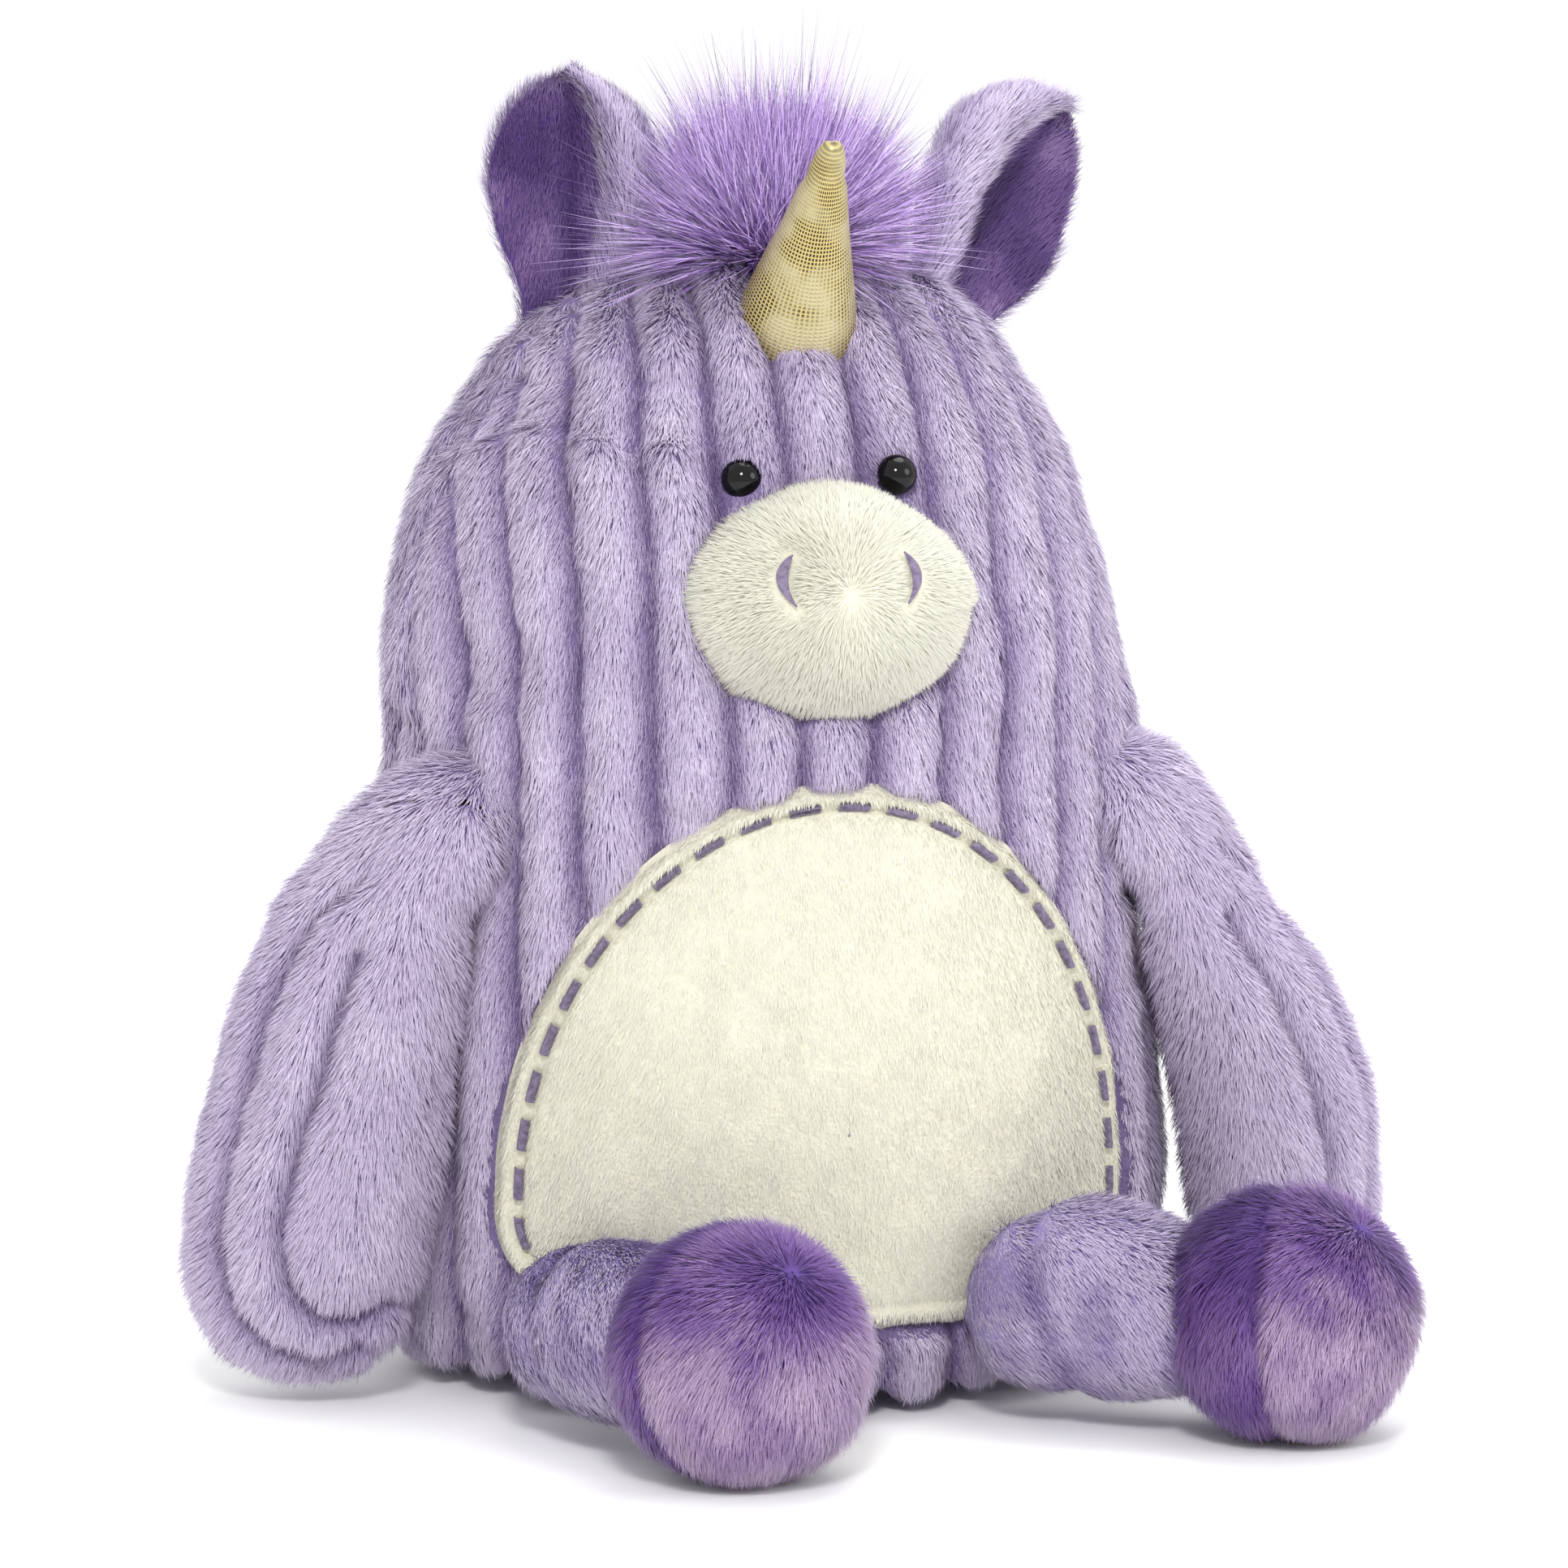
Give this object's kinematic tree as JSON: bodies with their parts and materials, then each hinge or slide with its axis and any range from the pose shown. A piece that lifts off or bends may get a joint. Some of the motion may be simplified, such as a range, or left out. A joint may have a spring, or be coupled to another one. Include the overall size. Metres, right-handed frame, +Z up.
{
  "type": "plush unicorn",
  "caption": "Seated stuffed unicorn with a pear-shaped ribbed body, cream muzzle and belly patch, cloth horn, floppy arms and ball hooves.",
  "frame": {"origin": "on the floor, under the middle of the seated toy's outline seen from above", "axes": "+Z up, -Y towards the front that the face looks to, +X towards the viewer's right"},
  "size_m": [0.2745, 0.2567, 0.303],
  "materials": {
    "ribbed_plush": "matte",
    "ear_plush": "matte",
    "cream_plush": "matte",
    "leg_plush": "matte",
    "hoof_fur": "matte",
    "mane_fur": "matte",
    "horn_mesh": "satin",
    "thread": "matte",
    "eye_plastic": "gloss",
    "washer_plastic": "satin",
    "fibre_fill": "matte",
    "pellet_fill": "matte"
  },
  "bodies": {
    "body": {"body_front_panel": "ribbed_plush", "body_back_left_panel": "ribbed_plush", "body_back_right_panel": "ribbed_plush", "base_panel": "ribbed_plush", "body_stuffing": "fibre_fill", "pellet_pouch": "pellet_fill", "belly_patch": "cream_plush", "belly_running_stitch": "thread", "muzzle_cover": "cream_plush", "muzzle_stuffing": "fibre_fill", "left_nostril": "thread", "right_nostril": "thread", "left_eye": "eye_plastic", "right_eye": "eye_plastic", "left_eye_washer": "washer_plastic", "right_eye_washer": "washer_plastic", "mane_backing": "ear_plush"},
    "horn": {"horn_cover": "horn_mesh", "horn_stuffing": "fibre_fill"},
    "mane": {"mane_tuft": "mane_fur"},
    "tail": {"tail": "mane_fur"},
    "left_ear": {"left_ear_back": "ribbed_plush", "left_ear_lining": "ear_plush"},
    "left_arm": {"left_arm_front_panel": "ribbed_plush", "left_arm_back_panel": "ribbed_plush", "left_arm_stuffing": "fibre_fill"},
    "left_leg": {"left_leg_cover": "leg_plush", "left_leg_stuffing": "fibre_fill", "left_hoof_front": "hoof_fur", "left_hoof_back": "hoof_fur", "left_hoof_stuffing": "fibre_fill"},
    "right_ear": {"right_ear_back": "ribbed_plush", "right_ear_lining": "ear_plush"},
    "right_arm": {"right_arm_front_panel": "ribbed_plush", "right_arm_back_panel": "ribbed_plush", "right_arm_stuffing": "fibre_fill"},
    "right_leg": {"right_leg_cover": "leg_plush", "right_leg_stuffing": "fibre_fill", "right_hoof_front": "hoof_fur", "right_hoof_back": "hoof_fur", "right_hoof_stuffing": "fibre_fill"}
  },
  "joints": [
    {"name": "left_arm_lift", "type": "hinge", "parent": "body", "child": "left_arm", "pos_m": [-0.0953, -0.0064, 0.125], "axis": [-0.342, 0.9397, 0], "range_deg": [0, 100]},
    {"name": "right_arm_lift", "type": "hinge", "parent": "body", "child": "right_arm", "pos_m": [0.0867, -0.0064, 0.125], "axis": [-0.342, -0.9397, 0], "range_deg": [0, 100]},
    {"name": "left_leg_lift", "type": "hinge", "parent": "body", "child": "left_leg", "pos_m": [-0.0663, -0.0464, 0.024], "axis": [-0.9063, -0.4226, 0], "range_deg": [0, 55]},
    {"name": "right_leg_lift", "type": "hinge", "parent": "body", "child": "right_leg", "pos_m": [0.0387, -0.0584, 0.024], "axis": [-0.5446, -0.8387, 0], "range_deg": [0, 55]},
    {"name": "left_ear_bend", "type": "hinge", "parent": "body", "child": "left_ear", "pos_m": [-0.0473, 0.03795, 0.247], "axis": [0.8434, -0.527, 0.1045], "range_deg": [-15, 20], "stiffness_Nm_per_rad": 0.03},
    {"name": "right_ear_bend", "type": "hinge", "parent": "body", "child": "right_ear", "pos_m": [0.0387, 0.03795, 0.247], "axis": [0.7112, 0.4444, -0.5446], "range_deg": [-15, 20], "stiffness_Nm_per_rad": 0.03},
    {"name": "horn_tilt", "type": "hinge", "parent": "body", "child": "horn", "pos_m": [-0.0043, -0.0017, 0.246], "axis": [1, 0, 0], "range_deg": [-8, 8], "stiffness_Nm_per_rad": 0.08},
    {"name": "mane_sway", "type": "hinge", "parent": "body", "child": "mane", "pos_m": [-0.0043, 0.0216, 0.264], "axis": [1, 0, 0], "range_deg": [-15, 15], "stiffness_Nm_per_rad": 0.03},
    {"name": "tail_swing", "type": "hinge", "parent": "body", "child": "tail", "pos_m": [-0.0043, 0.1132, 0.062], "axis": [1, 0, 0], "range_deg": [0, 70]}
  ]
}
